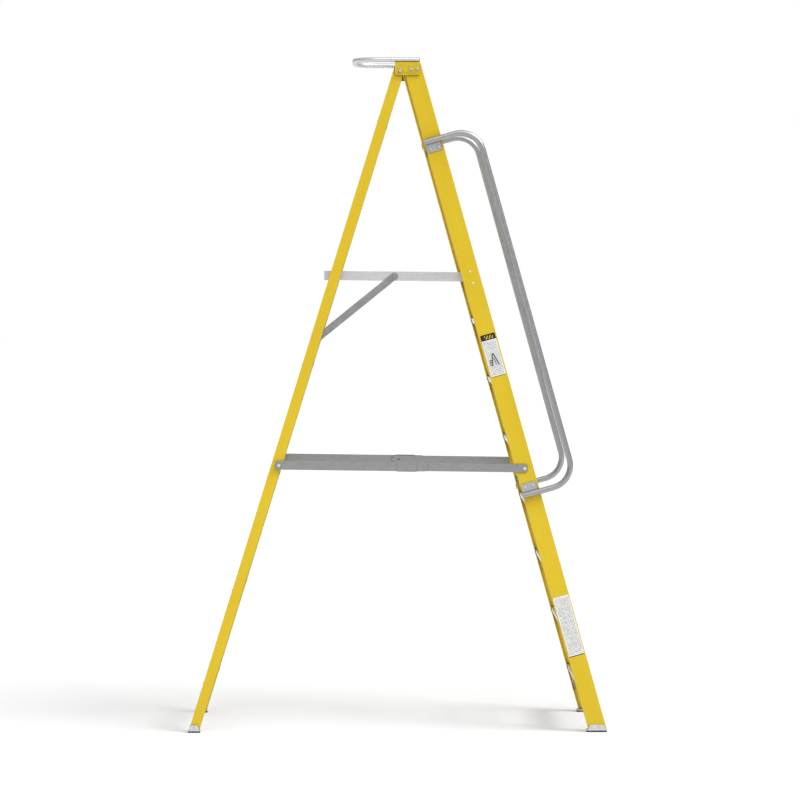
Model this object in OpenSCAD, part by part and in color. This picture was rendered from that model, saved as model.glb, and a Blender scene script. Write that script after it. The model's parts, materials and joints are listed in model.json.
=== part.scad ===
// Platform step ladder: front section with treads, rear section, folding platform and spreaders.
// Origin at the middle of the footprint on the floor, +Z up, +X towards the climber.

/* [Overall] */
// Height of the top hinge above the floor
hinge_h = 3337; // [3200:1:3450]
// Slope of the front rails from the vertical, degrees
front_slope = 15.6; // [14:0.1:17]
// Slope of the rear rails from the vertical, degrees
rear_slope = 17.25; // [16:0.05:18.5]
// Inward lean of each side, degrees
side_lean = 2.2; // [1.8:0.05:2.3]
// Width over the rails at the floor
base_w = 698; // [690:1:730]

/* [Rails] */
// Width of a front rail
front_rail_w = 88.9; // [84:0.1:90]
// Width of a rear rail
rear_rail_w = 50.8; // [44:0.2:52]
// Depth of the rail channels
rail_depth = 32; // [28:1:34]
// Wall of the rail channels
rail_wall = 4; // [3:0.5:5]
// Distance from the top hinge to the middle line of a front rail
hinge_back = 65; // [64:0.5:68]
// Distance from the top hinge back to the middle line of a rear rail
rear_offset = 8.5; // [7:0.5:9]
// Distance of the rear rails inside the plane of the front rails
rear_inset = 2; // [1.5:0.5:3]

/* [Steps] */
// Number of steps
step_count = 7; // [5:1:7]
// Height of the lowest tread
first_step_h = 254; // [230:1:280]
// Height from one tread to the next
step_pitch = 304.8; // [295:0.1:305]
// Depth of the step skirts
step_skirt = 26; // [20:1:30]

/* [Platform] */
// Height of the platform's hinge
platform_h = 2296; // [2280:1:2320]
// Drop of the deck towards the front, degrees
platform_tilt = 0.6; // [0:0.1:1]
// Half width of the platform
platform_half_w = 191; // [180:1:192]
// Height of the side skirts
skirt_h = 43; // [40:1:50]
// Reach of the platform behind its hinge
platform_back = 740; // [700:1:750]
// Reach of the platform in front of its hinge
platform_front = 33; // [20:1:36]
// Pitch of the deck planks
plank_pitch = 63.5; // [60:0.5:64]
// Height of a plank above the skirts
plank_h = 4; // [3:0.5:6]

/* [Platform braces] */
// Distance from the platform hinge to the brace pins
brace_pin_back = 387.5; // [370:0.5:400]
// Height of the braces' lower ends
brace_foot_h = 1975; // [1965:1:2000]
// Width of a brace
brace_w = 34; // [26:1:36]
// Thickness of a brace
brace_t = 4.8; // [4:0.2:5]

/* [Spreaders] */
// Height of the front spreader pins
spreader_front_h = 1332; // [1325:1:1345]
// Height of the rear spreader pins
spreader_rear_h = 1349; // [1340:1:1360]
// Distance of the rear spreader pins in front of the rear rails' middle line
rear_pin_in = 13.5; // [0:0.5:13.5]
// Width of the rear spreader arms
spreader_w = 43; // [38:1:45]
// Width of the front spreader arms
front_arm_w = 40; // [36:1:43]
// Thickness of a spreader bar
spreader_t = 4; // [3:0.5:4]

/* [Tubes] */
// Outer diameter of the handrails
tube_d = 30; // [28:0.2:33]
// Outer diameter of the hoop
hoop_d = 25.4; // [22:0.2:30]
// Wall of the tubes
tube_wall = 2; // [1.5:0.5:3]
// Radius of the tube bends, at the middle of the tube
bend_r = 114; // [90:1:130]
// Distance of the handrails in front of the middle line of the front rails
handrail_reach = 228.5; // [200:0.5:240]
// Distance of the upper handrail arms below the top hinge, along the rail
handrail_top = 382; // [360:1:400]
// Distance of the lower handrail arms below the top hinge, along the rail
handrail_bottom = 2232; // [2220:1:2240]

/* [Hidden] */
$fn = 48;
far = 5000;
yellow = [0.87, 0.75, 0.19];
silver = [0.78, 0.79, 0.80];
polished = [0.66, 0.67, 0.68];
zinc = [0.58, 0.58, 0.59];
black = [0.10, 0.10, 0.11];
paper = [0.92, 0.92, 0.90];

// Radial clearance of a running fit, and of a fastener in its hole
run_gap = 0.05;
hole_gap = 0.2;

// Feet: rubber pad, sole, and the plate up the side
pad_h = 8;
sole_t = 4;
rail_foot_h = pad_h + sole_t;
shoe_plate_t = 3;
shoe_plate_h = 26;
front_sole_back = 10;
front_sole_front = 1;
rear_sole_extra = 3.5;
pad_plate = 3;
pad_ribs = 4;
shoe_rivet_h = 22;

// The hinge's place in the leaned plane of a side, and over the middle of the footprint
hinge_v = hinge_h / cos(side_lean);
front_foot_x = (hinge_v - rail_foot_h) * tan(front_slope)
  + (hinge_back + front_rail_w / 2) / cos(front_slope);
rear_foot_x = (hinge_v - rail_foot_h) * tan(rear_slope) + (rear_rail_w / 2 + rear_offset) / cos(rear_slope);
hinge_x = (rear_foot_x + rear_sole_extra - front_foot_x - front_sole_front) / 2;

// Places along a rail: s runs down from the hinge, t is the offset towards the front
function half_w(z) = base_w / 2 - z * tan(side_lean);
function front_x(s, t = 0) = hinge_x + (hinge_back + t) * cos(front_slope) + s * sin(front_slope);
function front_s(z, t = 0) =
  (hinge_v + (hinge_back + t) * sin(front_slope) - z / cos(side_lean)) / cos(front_slope);
function rear_x(s) = hinge_x - rear_offset * cos(rear_slope) - s * sin(rear_slope);
function rear_s(z) = (hinge_v + rear_offset * sin(rear_slope) - z / cos(side_lean)) / cos(rear_slope);

rail_half = front_rail_w / 2;
rear_half = rear_rail_w / 2;

// Soles, and the rivets in the shoes' plates
front_sole_x1 = hinge_x + front_foot_x + front_sole_front;
front_sole_x0 = front_sole_x1 - front_sole_front - front_rail_w / cos(front_slope) - front_sole_back;
rear_sole_x0 = hinge_x - rear_foot_x - rear_sole_extra;
rear_sole_x1 = rear_sole_x0 + rear_rail_w / cos(rear_slope) + 2 * rear_sole_extra;
front_shoe_rivet_x = [front_sole_x0 + 34, front_sole_x1 - 30];
rear_shoe_rivet_x = [rear_sole_x0 + 16, rear_sole_x1 - 20];
plate_lip = 5;

// Top plates
plate_t = 5;
plate_top = 3381;
plate_bottom = 3315;
plate_back = 26.5;
plate_front = 98;
plate_flange = 43;
plate_flange_t = 4;
front_rail_top = plate_top - plate_flange_t - 1;
plate_bolt_h = 3345;
plate_bolt_t = [-10.5, 21];
pivot_r = 6;
pivot_hex_r = 8.8;
pivot_washer_r = 9.8;
bushing_r = 9;

// Guard hoop
hoop_z = plate_top + hoop_d / 2;
hoop_y = half_w(plate_top) - 12;
hoop_front = 96;
hoop_back = 229;
hoop_bolt_x = [-10, 80];
hoop_bolt_r = 3;

// Handrail plates
weld_plate_t = 5;
weld_plate_l = 76;
weld_plate_in = 8;
weld_plate_out = 56;
backing_t = 3;
handrail_out = weld_plate_t + tube_d / 2;
handrail_bolt_t = [-24, 18];
handrail_bolt_off = 39;

// Fasteners
rivet_r = 3;
rivet_head_r = 5.5;
rivet_head_h = 2;
bolt_r = 4;
bolt_hex_r = 7.5;
bolt_head_h = 5;
washer_r = 9;
washer_t = 1.6;

// Steps
tread_t = 3;
skirt_t = 2.5;
step_side_gap = 0.6;
step_end_gap = 1.5;
rib_pitch = 6.5;
rib_depth = 1.2;
flange_rivet_y = 17;

// Rear horizontals
horizontal_z = [3090, 1860, 1290, 720, 250];
horizontal_skirt = 22;

// Knee straps
strap_t = 3;
strap_w = 24;
strap_rise = 118;
strap_run = 150;
strap_drop = tread_t + strap_w / 2 + 0.4;
knee_strap_h = first_step_h - strap_drop - 2;
spacer_t = 2.5;
spacer_r = 9;
strap_horizontal_z = [720, 250];

// Lengths held between a rivet's heads, and the gap under a head on a face that leans a little
seat_gap = 0.3;
flange_grip = seat_gap + rail_wall + step_side_gap + skirt_t + 0.5;
strap_head_grip = skirt_t + 2 * seat_gap + strap_t + 0.3;
strap_foot_grip = seat_gap + rail_wall + step_side_gap + skirt_t + seat_gap + strap_t + 0.3;

// Platform
platform_x = front_x(front_s(platform_h));
skirt_wall = 3;
skirt_flange = 22;
plank_gap = 1;
plank_count = floor((platform_back + platform_front - 14) / plank_pitch);
hinge_pin_r = 6;
hinge_boss_r = 15;
hinge_plate_t = 4;
hinge_plate_l = 90;
hinge_plate_w = 50;
hinge_rivet_s = 30;

// Brace linkage
brace_pin_r = 5;
brace_x = platform_x - brace_pin_back * cos(platform_tilt);
brace_z = platform_h + brace_pin_back * sin(platform_tilt);
foot_s = rear_s(brace_foot_h);
foot_x = rear_x(foot_s);
brace_len = sqrt(pow(brace_x - foot_x, 2) + pow(brace_z - brace_foot_h, 2));
brace_turn = 180 - atan2(brace_z - brace_foot_h, brace_x - foot_x);
brace_top_y = platform_half_w + 1.5;
brace_foot_y = 223.2;
block_l = 60;
block_w = rear_rail_w - 2 * rail_wall - 1.2;
block_y0 = 240;
block_y1 = 257;
block_pin_r = 6;
block_pin_gap = 0.8;
block_slope = atan(tan(rear_slope) / cos(side_lean));
stop_l = 16;
stop_gap = 1.2;

// Deck details
plank_web = 16;
beam_w = 30;
beam_x = [-590, -230];
end_plate_t = 3;

// Stickers on the left front rail
sticker_t = 0.5;
sticker_upper_s = 1507;
sticker_lower_s = 2929;

// Spreader linkage: the knee's place lets both arms fold up between the closed rails
front_arm_end = 12.6;
rear_arm_end = 18;
spreader_corner_r = 7;
front_pin_s = front_s(spreader_front_h);
rear_pin_s = rear_s(spreader_rear_h);
front_pin_x = front_x(front_pin_s);
rear_pin_x = rear_x(rear_pin_s) + rear_pin_in;
spread_len = sqrt(pow(front_pin_x - rear_pin_x, 2) + pow(spreader_front_h - spreader_rear_h, 2));
spread_turn = atan2(spreader_rear_h - spreader_front_h, front_pin_x - rear_pin_x);
front_arm_l = (spread_len + front_pin_s - rear_pin_s) / 2;
rear_arm_l = spread_len - front_arm_l;
front_arm_tail = 38;
rear_arm_tail = 140;
spreader_pin_r = 5;
arm_gap = 0.8;
arm_in_y = half_w(spreader_front_h) + 2.2;
arm_out_y = arm_in_y + spreader_t + arm_gap;
lock_y = arm_out_y + spreader_t + 0.4;
lock_t = 2;
lock_back = -18;
lock_front = 83;
stop_rivet_u = 120;

// Frames of reference ------------------------------------------------------------------------

// The leaned plane of the left side: x forward, y inward from the rails' outer face
module left_plane() translate([0, -base_w / 2, 0]) rotate([-side_lean, 0, 0]) children();

// A place on a front rail: local x forward across the rail, y inward, z up along the rail
module on_front(s, t = 0)
  left_plane() translate([hinge_x, 0, hinge_v]) rotate([0, -front_slope, 0])
    translate([hinge_back + t, 0, -s]) children();

// The same on a rear rail
module on_rear(s, t = 0)
  translate([0, rear_inset, 0]) left_plane() translate([hinge_x, 0, hinge_v]) rotate([0, rear_slope, 0])
    translate([t - rear_offset, 0, -s]) children();

// A section's own frame at a height: x across its rails, z up along them, y across the ladder
module front_section(z) translate([front_x(front_s(z)), 0, z]) rotate([0, -front_slope, 0]) children();
module rear_section(z) translate([rear_x(rear_s(z)), 0, z]) rotate([0, rear_slope, 0]) children();

module both_sides() {
  children();
  mirror([0, 1, 0]) children();
}

module right_side() mirror([0, 1, 0]) children();

// Turns an upright child so that it points inward (+Y), or forward (+X)
module inward() rotate([-90, 0, 0]) children();
module forward() rotate([0, 90, 0]) children();

// A round bar along Y in world coordinates
module y_bar(x, z, y0, y1, r) translate([x, y0, z]) inward() cylinder(h = y1 - y0, r = r);

// Everything above, or below, a height
module above(z) translate([-far / 2, -far / 2, z]) cube([far, far, far]);
module below(z) translate([-far / 2, -far / 2, z - far]) cube([far, far, far]);

// Fasteners, drawn upright: the head's seat is at z = 0 and the shank runs to +z --------------

module rivet_body(grip, r = rivet_r, head_r = rivet_head_r) {
  translate([0, 0, -rivet_head_h]) cylinder(h = rivet_head_h / 2, r1 = head_r * 0.7, r2 = head_r);
  translate([0, 0, -rivet_head_h / 2]) cylinder(h = rivet_head_h / 2, r = head_r);
  cylinder(h = grip + 1, r = r);
  translate([0, 0, grip]) cylinder(h = rivet_head_h, r = head_r * 0.8);
}

module bolt_body(grip) {
  translate([0, 0, -washer_t - bolt_head_h]) cylinder(h = bolt_head_h, r = bolt_hex_r, $fn = 6);
  translate([0, 0, -washer_t]) cylinder(h = washer_t, r = washer_r);
  cylinder(h = grip + washer_t + bolt_head_h + 3, r = bolt_r);
  translate([0, 0, grip]) cylinder(h = washer_t, r = washer_r);
  translate([0, 0, grip + washer_t]) cylinder(h = bolt_head_h, r = bolt_hex_r, $fn = 6);
}

module fastener_hole(r, l) translate([0, 0, -l / 2]) cylinder(h = l, r = r + hole_gap);

// Rails -----------------------------------------------------------------------------------------

// A channel along z, from z0 to z1, its web at y = 0 and its flanges inward
module channel(w, z0, z1) {
  translate([-w / 2, 0, z0]) difference() {
    cube([w, rail_depth, z1 - z0]);
    translate([rail_wall, rail_wall, -1]) cube([w - 2 * rail_wall, rail_depth, z1 - z0 + 2]);
  }
}

// Points of the front section at one world height: u runs across the rails from their middle line
module front_level(z, u) front_section(z) translate([u, 0, -u * tan(front_slope)]) children();

// Where the step rivets go on both flanges of the left front rail
module at_step_rivets(k) {
  z = step_rivet_z(k);
  for (side = [-1, 1])
    front_level(z, side * (rail_half + seat_gap)) translate([0, flange_rivet_y - half_w(z), 0])
      rotate([0, -90 * side, 0]) children();
}
function step_rivet_z(k) = first_step_h + k * step_pitch - step_skirt * 0.6;

// The knee straps' two rivets: the upper one in the lowest step's rear skirt, the lower one in the flange
module at_front_strap_rivets() {
  z = knee_strap_h;
  y = strap_foot_y(z, front_slope, 0);
  front_level(z, -skirt_x(front_rail_w)) {
    translate([0, y + strap_run, 0]) forward() children(0);
    translate([skirt_x(front_rail_w) - rail_half - seat_gap, y, -strap_rise]) forward() children(1);
  }
}
function strap_foot_y(z, slope, inset) = flange_rivet_y + inset - half_w(z - strap_rise * cos(slope));
function skirt_x(rail_w) = rail_w / 2 - rail_wall - step_side_gap;

// Where the handrail bolts go on the left front rail
module at_handrail_bolts() {
  for (t = handrail_bolt_t) {
    on_front(handrail_top + handrail_bolt_off, t) inward() children();
    on_front(handrail_bottom - handrail_bolt_off, t) inward() children();
  }
}

module at_plate_bolts() {
  for (t = plate_bolt_t) on_front(front_s(plate_bolt_h, t), t) inward() children();
}

module at_hinge_rivets() {
  for (d = [-1, 1]) on_front(front_s(platform_h) + d * hinge_rivet_s) inward() children();
}

module at_shoe_rivets(xs) {
  left_plane() for (x = xs) translate([x, -shoe_plate_t, shoe_rivet_h]) inward() children();
}

module front_rail_body() {
  difference() {
    on_front(0) channel(front_rail_w, -front_s(-60), 100);
    below(rail_foot_h);
    above(front_rail_top);
    at_plate_bolts() fastener_hole(bolt_r, 40);
    at_handrail_bolts() fastener_hole(bolt_r, 40);
    at_hinge_rivets() fastener_hole(rivet_r, 40);
    for (k = [0 : step_count - 1]) at_step_rivets(k) fastener_hole(rivet_r, 30);
    at_front_strap_rivets() {
      fastener_hole(rivet_r, 0.1);
      fastener_hole(rivet_r, 30);
    }
    y_bar(front_pin_x, spreader_front_h, -far, 0, spreader_pin_r + hole_gap);
    at_shoe_rivets(front_shoe_rivet_x) fastener_hole(rivet_r, 30);
  }
}
module front_rail_left() color(yellow) front_rail_body();
module front_rail_right() color(yellow) right_side() front_rail_body();

// The rear rail's flanges stop at the hinge and its web ends in a half disc around it
module rear_rail_body() {
  difference() {
    union() {
      on_rear(0) channel(rear_rail_w, -rear_s(-60), 0);
      on_rear(0) inward() cylinder(h = rail_wall, r = rear_half, $fn = 96);
    }
    below(rail_foot_h);
    y_bar(hinge_x, hinge_h, -far, 0, bushing_r + run_gap);
    y_bar(rear_pin_x, spreader_rear_h, -far, 0, spreader_pin_r + hole_gap);
    for (z = horizontal_z) at_horizontal_rivets(z) fastener_hole(rivet_r, 30);
    for (z = strap_horizontal_z) at_rear_strap_rivets(z) {
      fastener_hole(rivet_r, 0.1);
      fastener_hole(rivet_r, 30);
    }
    at_stop_rivet() fastener_hole(rivet_r, 120);
    at_shoe_rivets(rear_shoe_rivet_x) fastener_hole(rivet_r, 30);
  }
}
module rear_rail_left() color(yellow) rear_rail_body();
module rear_rail_right() color(yellow) right_side() rear_rail_body();

// Steps -----------------------------------------------------------------------------------------

// Tread profile: a ribbed top with a skirt at each edge that runs parallel to the rails
module tread_profile(w) {
  shift = step_skirt * tan(front_slope);
  ribs = floor((w - 8) / rib_pitch);
  difference() {
    polygon([[0, 0], [w, 0], [w + shift, -step_skirt], [w + shift - skirt_t, -step_skirt],
      [w - skirt_t + tread_t * tan(front_slope), -tread_t],
      [skirt_t + tread_t * tan(front_slope), -tread_t],
      [shift + skirt_t, -step_skirt], [shift, -step_skirt]]);
    for (i = [0 : ribs - 1])
      translate([(w - ribs * rib_pitch) / 2 + i * rib_pitch + rib_pitch / 4, -rib_depth])
        square([rib_pitch / 2, rib_depth + 1]);
  }
}

module step(k) {
  z = first_step_h + k * step_pitch;
  w = 2 * skirt_x(front_rail_w) / cos(front_slope);
  l = half_w(z) - rail_wall - step_end_gap;
  color(silver) difference() {
    translate([front_x(front_s(z)) - w / 2, l, z]) rotate([90, 0, 0])
      linear_extrude(2 * l) tread_profile(w);
    both_sides() at_step_rivets(k) fastener_hole(rivet_r, 30);
    if (k == 0) both_sides() at_front_strap_rivets() {
      fastener_hole(rivet_r, 20);
      fastener_hole(rivet_r, 0.1);
    }
  }
}
module step_1() step(0);
module step_2() step(1);
module step_3() step(2);
module step_4() step(3);
module step_5() step(4);
module step_6() step(5);
module step_7() step(6);

// Flat strap in a section's plane, from its foot at [0, 0] to its head at [run, rise]
module strap_outline() {
  l = sqrt(pow(strap_run, 2) + pow(strap_rise, 2));
  rotate([0, 0, atan2(strap_rise, strap_run)]) {
    translate([0, -strap_w / 2]) square([l, strap_w]);
    circle(d = strap_w);
    translate([l, 0]) circle(d = strap_w);
  }
}

// A strap with a spacer at its foot, lying inside a skirt whose outer face is at x = 0
module knee_strap() {
  translate([skirt_t + seat_gap, 0, 0]) {
    rotate([90, 0, 90]) linear_extrude(strap_t) strap_outline();
    translate([-spacer_t, 0, 0]) forward() cylinder(h = spacer_t + 1, r = spacer_r);
  }
}

module front_strap_side() {
  z = knee_strap_h;
  difference() {
    front_level(z, -skirt_x(front_rail_w)) translate([0, strap_foot_y(z, front_slope, 0), -strap_rise])
      knee_strap();
    at_front_strap_rivets() {
      fastener_hole(rivet_r, 20);
      fastener_hole(rivet_r, 30);
    }
  }
}
module step_knee_braces() color(zinc) both_sides() front_strap_side();

module front_rivets() color(silver) both_sides() {
  for (k = [0 : step_count - 1]) at_step_rivets(k) rivet_body(flange_grip);
  at_front_strap_rivets() {
    translate([0, 0, -seat_gap]) rivet_body(strap_head_grip);
    rivet_body(strap_foot_grip);
  }
  at_hinge_rivets() rivet_body(rail_wall + hinge_plate_t);
  at_shoe_rivets(front_shoe_rivet_x) rivet_body(shoe_plate_t + rail_wall);
}

// Shoes -----------------------------------------------------------------------------------------

// x0 to x1 is the sole, top_x0 to top_x1 the upper edge of the plate on the rail's face
module shoe_body(x0, x1, top_x0, top_x1, rivets) {
  difference() {
    union() {
      translate([x0, -base_w / 2 - shoe_plate_t, pad_h])
        cube([x1 - x0, rail_depth + shoe_plate_t + 4, sole_t]);
      intersection() {
        left_plane() rotate([90, 0, 0]) linear_extrude(shoe_plate_t)
          polygon([[x0 + 4, pad_h], [x1, pad_h], [top_x1, rail_foot_h + shoe_plate_h],
            [top_x0, rail_foot_h + shoe_plate_h]]);
        above(rail_foot_h);
      }
    }
    at_shoe_rivets(rivets) fastener_hole(rivet_r, 30);
  }
}

// Rubber pad under a sole: a plate with ribs across it
module pad_body(x0, x1) {
  l = x1 - x0 - 2;
  rib_l = l / (2 * pad_ribs - 1);
  translate([x0 + 1, -base_w / 2 - shoe_plate_t + 1, pad_h - pad_plate])
    cube([l, rail_depth + 5, pad_plate]);
  for (i = [0 : pad_ribs - 1])
    translate([x0 + 1 + 2 * i * rib_l, -base_w / 2 - shoe_plate_t + 1, 0])
      cube([rib_l, rail_depth + 5, pad_h - pad_plate + 0.5]);
}

module front_shoe_body()
  shoe_body(front_sole_x0, front_sole_x1, front_sole_x0 + 20, front_sole_x1 - 15, front_shoe_rivet_x);
module rear_shoe_body()
  shoe_body(rear_sole_x0, rear_sole_x1, rear_sole_x0 + 8, rear_sole_x1 - 13, rear_shoe_rivet_x);
module front_shoe_left() color(silver) front_shoe_body();
module front_shoe_right() color(silver) right_side() front_shoe_body();
module rear_shoe_left() color(silver) rear_shoe_body();
module rear_shoe_right() color(silver) right_side() rear_shoe_body();
module front_shoe_pads() color(black) both_sides() pad_body(front_sole_x0, front_sole_x1);
module rear_shoe_pads() color(black) both_sides() pad_body(rear_sole_x0, rear_sole_x1);

// Top of the ladder -------------------------------------------------------------------------------

// Section of a top plate, across the ladder: a lip at its foot and a flange inward at its top
module plate_section() {
  face_0 = -half_w(plate_bottom);
  face_lip = -half_w(plate_bottom + plate_flange_t);
  face_1 = -half_w(plate_top - plate_flange_t);
  face_top = -half_w(plate_top);
  polygon([[face_0 - plate_t - plate_lip, plate_bottom], [face_0, plate_bottom],
    [face_1, plate_top - plate_flange_t], [face_1 + plate_flange, plate_top - plate_flange_t],
    [face_1 + plate_flange, plate_top], [face_top - plate_t, plate_top],
    [face_lip - plate_t, plate_bottom + plate_flange_t],
    [face_lip - plate_t - plate_lip, plate_bottom + plate_flange_t]]);
}

module top_plate_body() {
  difference() {
    translate([hinge_x - plate_back, 0, 0]) rotate([90, 0, 90])
      linear_extrude(plate_back + plate_front) plate_section();
    at_plate_bolts() fastener_hole(bolt_r, 40);
    y_bar(hinge_x, hinge_h, -far, 0, pivot_r + hole_gap);
    at_hoop_bolts() fastener_hole(hoop_bolt_r, 30);
  }
}
module top_plate_left() color(yellow) top_plate_body();
module top_plate_right() color(yellow) right_side() top_plate_body();

// The hoop's bolts come up through the plate's flange into the tube's lower wall
module at_hoop_bolts() {
  for (x = hoop_bolt_x) translate([hinge_x + x, -hoop_y, plate_top - plate_flange_t]) children();
}

module top_bolts() color(zinc) both_sides() {
  at_plate_bolts() translate([0, 0, -plate_t]) bolt_body(plate_t + rail_wall);
  at_hoop_bolts() {
    translate([0, 0, -3]) cylinder(h = 3, r = 6, $fn = 6);
    cylinder(h = plate_flange_t + tube_wall + 4, r = hoop_bolt_r);
  }
}

// The pivot bolt runs along Y through the plate and the bushing in the rear rail
module pivot_bolt_body() {
  seat = -half_w(hinge_h) - plate_t - seat_gap * 2;
  nut = -half_w(hinge_h) + rear_inset + rail_wall + 4;
  translate([hinge_x, seat, hinge_h]) inward() {
    translate([0, 0, -8]) cylinder(h = 6.5, r = pivot_hex_r, $fn = 6);
    translate([0, 0, -1.5]) cylinder(h = 1.5, r = pivot_washer_r);
    cylinder(h = nut - seat + 10, r = pivot_r);
    translate([0, 0, nut - seat]) cylinder(h = 7, r = pivot_hex_r, $fn = 6);
  }
}
module pivot_bolts() color(zinc) both_sides() pivot_bolt_body();

module pivot_bushing_body() {
  face = -half_w(hinge_h) + rear_inset;
  difference() {
    union() {
      y_bar(hinge_x, hinge_h, face - 0.6, face + rail_wall + 3, bushing_r);
      y_bar(hinge_x, hinge_h, face - 1.5, face - 0.6, bushing_r + 2.5);
    }
    y_bar(hinge_x, hinge_h, face - 5, face + 20, pivot_r + run_gap);
  }
}
module pivot_bushings() color(black) both_sides() pivot_bushing_body();

// Tubes -------------------------------------------------------------------------------------------

module quarter_bend(d) rotate_extrude(angle = 90, $fn = 96) translate([bend_r, 0]) circle(d = d);

// A round bar along X
module x_bar(x0, x1, d, seam = 0)
  translate([x0, 0, 0]) forward() rotate([0, 0, seam]) cylinder(h = x1 - x0, d = d);

// Half of the hoop's path: a leg, a bend and half of the closed end behind the hinge
module half_hoop_path(d, over) {
  back = hinge_x - hoop_back;
  side_y = hoop_y - bend_r;
  translate([0, 0, hoop_z]) {
    translate([0, -hoop_y, 0]) x_bar(back + bend_r, hinge_x + hoop_front + over, d, -90);
    translate([back + bend_r, -side_y, 0]) rotate([0, 0, 180]) quarter_bend(d);
    translate([back, -side_y, 0]) inward() rotate([0, 0, 180]) cylinder(h = side_y, d = d);
  }
}

module guard_hoop() color(polished) both_sides() difference() {
  half_hoop_path(hoop_d, 0);
  half_hoop_path(hoop_d - 2 * tube_wall, 5);
  at_hoop_bolts() fastener_hole(hoop_bolt_r, 30);
}

// The handrail's path in a front rail's frame, its upper arm at z = 0
module handrail_path(d, over) {
  drop = handrail_bottom - handrail_top;
  for (z = [0, -drop]) translate([0, 0, z]) x_bar(-rail_half - over, handrail_reach - bend_r, d);
  translate([handrail_reach, 0, bend_r - drop]) cylinder(h = drop - 2 * bend_r, d = d);
  translate([handrail_reach - bend_r, 0, -bend_r]) rotate([90, 0, 0]) quarter_bend(d);
  translate([handrail_reach - bend_r, 0, bend_r - drop]) rotate([90, 90, 0]) quarter_bend(d);
}

module handrail_body() on_front(handrail_top) translate([0, -handrail_out, 0]) difference() {
  handrail_path(tube_d, 0);
  handrail_path(tube_d - 2 * tube_wall, 5);
}
module handrail_left() color(polished) handrail_body();
module handrail_right() color(polished) right_side() handrail_body();

// Plastic caps in the open tube ends
module cap_body(d) {
  translate([0, 0, seat_gap / 3]) cylinder(h = 3, d = d);
  translate([0, 0, -12]) cylinder(h = 12 + seat_gap, d = d - 2 * tube_wall - 0.2);
}
module tube_end_caps() color(zinc) both_sides() {
  translate([hinge_x + hoop_front, -hoop_y, hoop_z]) forward() cap_body(hoop_d);
  for (s = [handrail_top, handrail_bottom])
    on_front(s, -rail_half) translate([0, -handrail_out, 0]) rotate([0, -90, 0]) cap_body(tube_d);
}

// The plates that the handrails are welded to: up is 1 for the lower arm's plate
module handrail_plate(s, up) on_front(s)
  translate([-rail_half + 2, -weld_plate_t, up ? -weld_plate_in : -weld_plate_out])
    cube([weld_plate_l, weld_plate_t, weld_plate_in + weld_plate_out]);

module handrail_plates() color(silver) both_sides() difference() {
  union() {
    handrail_plate(handrail_top, false);
    handrail_plate(handrail_bottom, true);
  }
  at_handrail_bolts() fastener_hole(bolt_r, 40);
}

module backing_plate(s) on_front(s)
  translate([-rail_half + rail_wall + 3, rail_wall, -14])
    cube([front_rail_w - 2 * rail_wall - 6, backing_t, 28]);

module handrail_backing_plates() color(zinc) both_sides() difference() {
  union() {
    backing_plate(handrail_top + handrail_bolt_off);
    backing_plate(handrail_bottom - handrail_bolt_off);
  }
  at_handrail_bolts() fastener_hole(bolt_r, 40);
}

module handrail_bolts() color(zinc) both_sides()
  at_handrail_bolts() translate([0, 0, -weld_plate_t]) bolt_body(weld_plate_t + rail_wall + backing_t);

module sticker(s, w, l) on_front(s) translate([-w / 2, -sticker_t, -l / 2]) cube([w, sticker_t, l]);
module rail_stickers() color(paper) {
  sticker(sticker_upper_s, 76, 219);
  sticker(sticker_lower_s, 80, 312);
}

// Platform ----------------------------------------------------------------------------------------

// The bracket on the rail's web with a boss that reaches to the platform's side
module hinge_bracket_body() {
  outer = -half_w(platform_h) + rail_wall + 2;
  difference() {
    union() {
      on_front(front_s(platform_h)) translate([-hinge_plate_w / 2, rail_wall, -hinge_plate_l / 2])
        cube([hinge_plate_w, hinge_plate_t, hinge_plate_l]);
      y_bar(platform_x, platform_h, outer, -platform_half_w - 1, hinge_boss_r);
    }
    y_bar(platform_x, platform_h, outer + 8, 0, hinge_pin_r + hole_gap);
    at_hinge_rivets() fastener_hole(rivet_r, 40);
  }
}
module platform_hinge_brackets() color(silver) both_sides() hinge_bracket_body();

module hinge_pin_body() {
  outer = -half_w(platform_h) + rail_wall + 10.5;
  inner = -platform_half_w + skirt_wall + 0.4;
  y_bar(platform_x, platform_h, outer, inner, hinge_pin_r);
  y_bar(platform_x, platform_h, inner, inner + 3, hinge_pin_r + 4);
}
module platform_hinge_pins() color(zinc) both_sides() hinge_pin_body();

// The platform's own frame: x forward from its hinge, z up from the plane of its pins
module on_platform() translate([platform_x, 0, platform_h]) rotate([0, platform_tilt, 0]) children();

module platform_skirt_body() on_platform() {
  l = platform_back + platform_front;
  difference() {
    translate([-platform_back, -platform_half_w, -skirt_h / 2]) difference() {
      cube([l, skirt_flange, skirt_h]);
      translate([-1, skirt_wall, skirt_wall]) cube([l + 2, skirt_flange, skirt_h - 2 * skirt_wall]);
    }
    y_bar(0, 0, -far, 0, hinge_pin_r + run_gap);
    y_bar(-brace_pin_back, 0, -far, 0, brace_pin_r + hole_gap);
  }
}
module platform_skirt_left() color(silver) platform_skirt_body();
module platform_skirt_right() color(silver) right_side() platform_skirt_body();

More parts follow.
